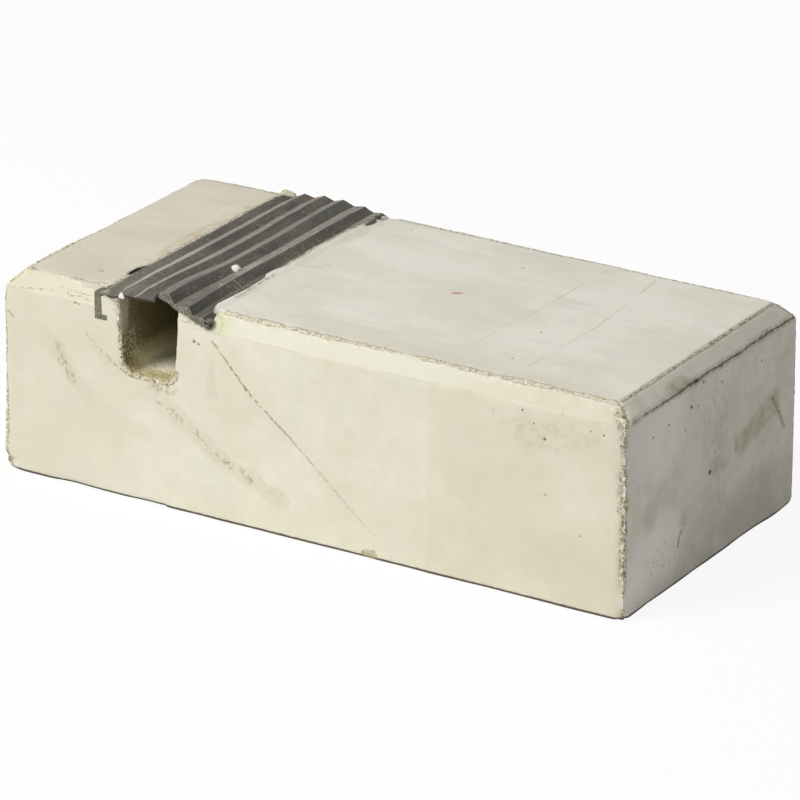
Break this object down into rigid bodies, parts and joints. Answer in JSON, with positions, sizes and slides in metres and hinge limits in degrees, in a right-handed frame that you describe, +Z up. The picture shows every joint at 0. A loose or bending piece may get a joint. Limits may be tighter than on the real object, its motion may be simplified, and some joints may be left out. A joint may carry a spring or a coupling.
{
  "type": "precast concrete block with covered cable trough",
  "caption": "Chamfered precast concrete block with an open-ended cable trough across it, bridged by a ribbed rubber cover strip whose hooked legs are cast into the concrete.",
  "frame": {"origin": "middle of the whole outline, at the base", "axes": "+X along the block's length, away from the trough; +Y along the trough, from the front face with the overhanging strip to the back; +Z up"},
  "size_m": [0.331, 0.164, 0.1052],
  "materials": {
    "concrete": "pale cream cast concrete, smooth faces with fine pits and rough sandy arrises",
    "cover": "dark grey ribbed rubber, dusty, with scuffed lighter ribs"
  },
  "bodies": {
    "root": {"concrete_block": "concrete", "cover_strip": "cover"}
  },
  "joints": []
}
